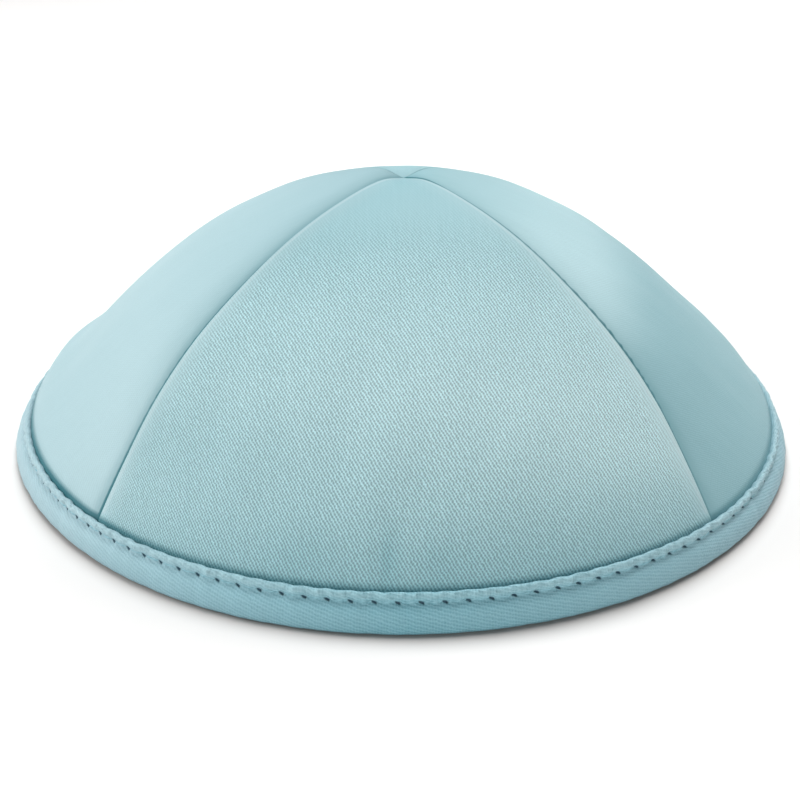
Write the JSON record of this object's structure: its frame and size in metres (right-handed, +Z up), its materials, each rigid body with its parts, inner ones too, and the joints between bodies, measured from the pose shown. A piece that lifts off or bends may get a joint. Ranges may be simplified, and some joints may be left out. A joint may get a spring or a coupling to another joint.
{
  "type": "kippah skullcap",
  "caption": "Shallow satin skullcap of curved panels that meet at the apex, with a folded and stitched binding round its rim, lying open side down.",
  "frame": {"origin": "centre of the rim, level with the flat underside of the binding", "axes": "+Z up through the apex, -Y towards the front panel"},
  "size_m": [0.18, 0.18, 0.0597],
  "materials": {
    "panel_satin": "satin weave, soft sheen",
    "binding_satin": "bias-cut satin, soft sheen"
  },
  "bodies": {
    "root": {"panel_front": "panel_satin", "panel_right": "panel_satin", "panel_back": "panel_satin", "panel_left": "panel_satin", "rim_binding": "binding_satin"}
  },
  "joints": []
}
